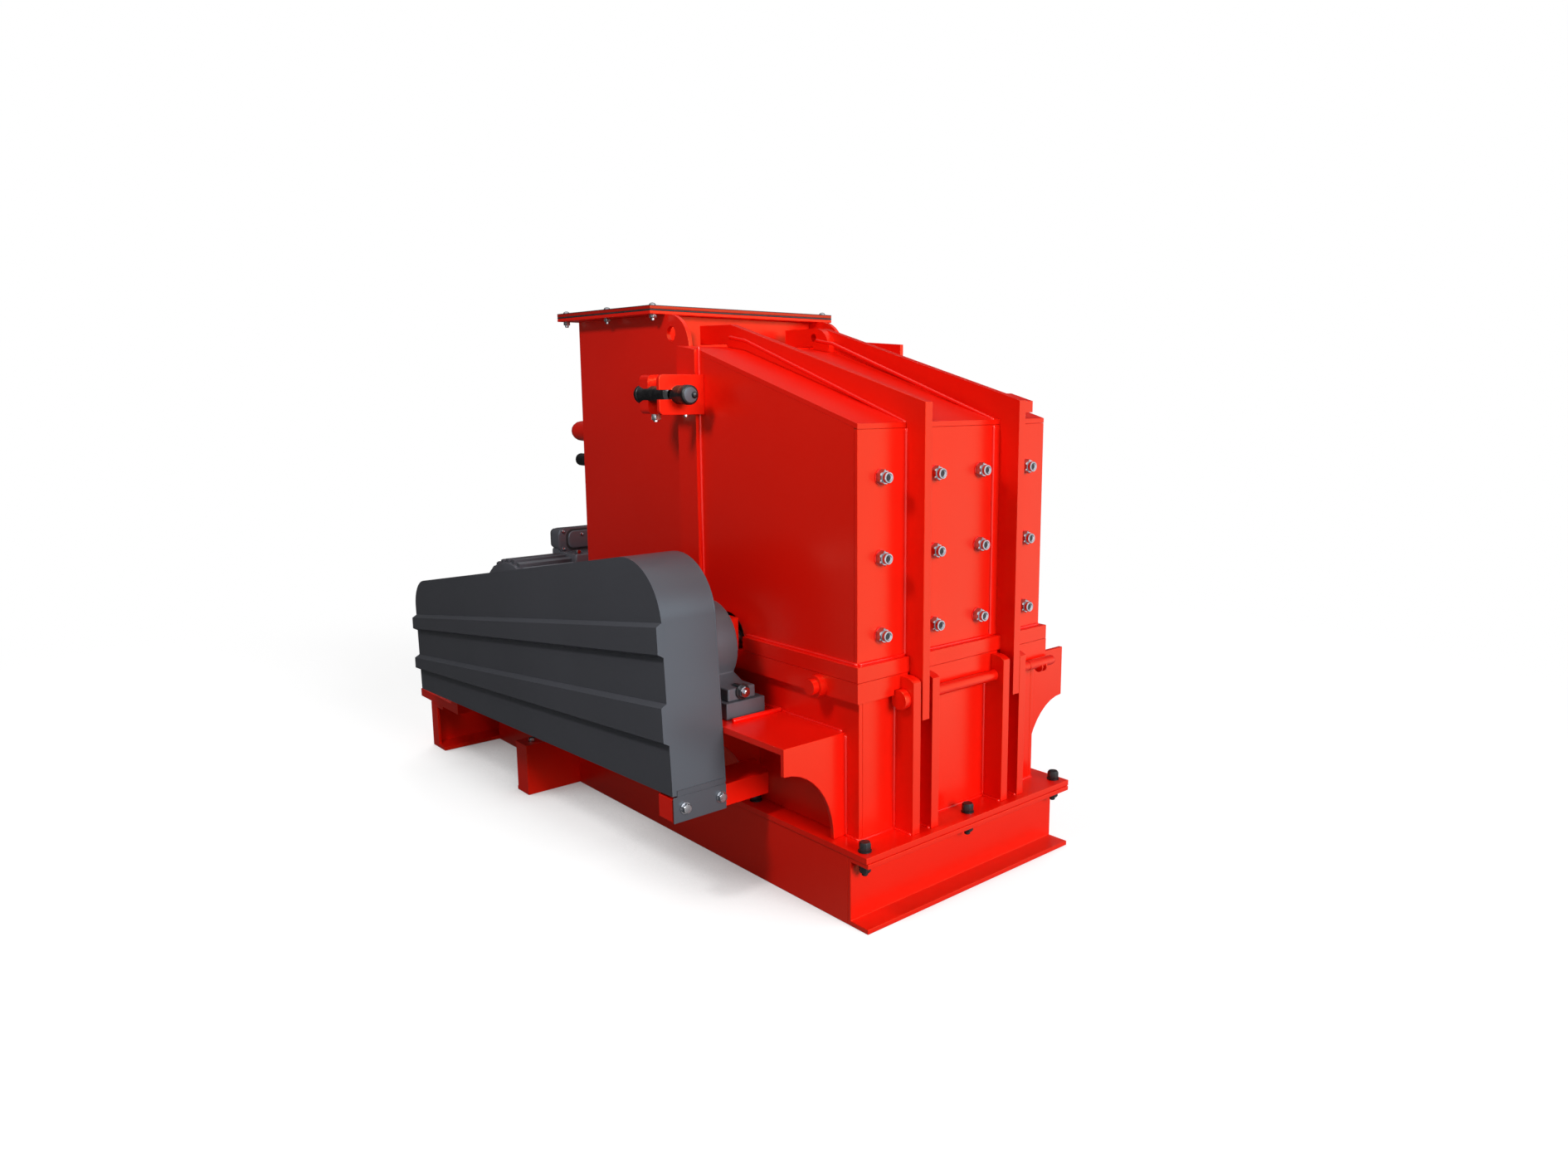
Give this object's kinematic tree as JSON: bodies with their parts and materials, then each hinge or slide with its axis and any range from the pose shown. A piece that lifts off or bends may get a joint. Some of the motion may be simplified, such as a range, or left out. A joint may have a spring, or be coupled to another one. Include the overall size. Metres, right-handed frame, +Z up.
{
  "type": "hammer crusher",
  "caption": "Hammer crusher on a channel base: ribbed rear housing that swings back on a hinge pin, open feed mouth, hammer rotor on bearings, and a belt drive under a pressed sheet guard.",
  "frame": {"origin": "middle of the footprint, at the underside of the base frame", "axes": "+X to the hinged end of the housing, -Y to the belt guard, +Z up"},
  "size_m": [2.146, 1.198, 1.4806],
  "materials": {
    "red_enamel": "gloss enamel on welded plate",
    "grey_enamel": "satin enamel",
    "bare_steel": "turned steel",
    "cast_steel": "rough cast steel",
    "black_rubber": "matt rubber"
  },
  "bodies": {
    "fixed_plant": {"base_beam_near": "red_enamel", "base_beam_far": "red_enamel", "base_end_beam": "red_enamel", "middle_cross_beam": "red_enamel", "motor_cross_beam": "red_enamel", "motor_frame_near": "red_enamel", "motor_frame_far": "red_enamel", "motor_rail_near": "red_enamel", "motor_rail_far": "red_enamel", "foot_flange": "red_enamel", "lower_wall_near": "red_enamel", "lower_wall_far": "red_enamel", "lower_wall_end": "red_enamel", "lower_wall_front": "red_enamel", "lower_rim": "red_enamel", "hinge_clevis_1": "red_enamel", "hinge_clevis_2": "red_enamel", "hinge_clevis_3": "red_enamel", "hinge_clevis_4": "red_enamel", "hinge_pin": "red_enamel", "console_near": "red_enamel", "console_far": "red_enamel", "bearing_plinth": "grey_enamel", "bearing_near": "grey_enamel", "bearing_far": "grey_enamel", "shaft_seal_near": "red_enamel", "shaft_seal_far": "red_enamel", "rotor_shaft": "bare_steel", "rotor_discs": "cast_steel", "front_side_near": "red_enamel", "front_side_far": "red_enamel", "front_wall": "red_enamel", "mouth_back_wall": "red_enamel", "inlet_flange": "red_enamel", "inlet_gasket": "black_rubber", "inlet_counter_flange": "red_enamel", "clamp_front_near": "red_enamel", "clamp_front_far": "red_enamel", "belt_guard": "grey_enamel", "guard_back": "grey_enamel", "guard_arm": "red_enamel", "guard_foot": "red_enamel", "rotor_pulley": "cast_steel", "motor_pulley": "cast_steel", "drive_belts": "black_rubber", "motor_body": "grey_enamel", "motor_fan_cowl": "grey_enamel", "motor_terminal_box": "grey_enamel"},
    "rear_housing": {"rear_flange": "red_enamel", "rear_side_near": "red_enamel", "rear_side_far": "red_enamel", "rear_end_wall": "red_enamel", "rear_roof": "red_enamel", "impact_liner": "cast_steel", "rib_near": "red_enamel", "rib_far": "red_enamel", "clamp_rear_near": "red_enamel", "clamp_rear_far": "red_enamel"}
  },
  "joints": [
    {"name": "rear_housing_hinge", "type": "hinge", "parent": "fixed_plant", "child": "rear_housing", "pos_m": [1.018, 0.085, 0.5235], "axis": [0, 1, 0], "range_deg": [0, 55]}
  ]
}
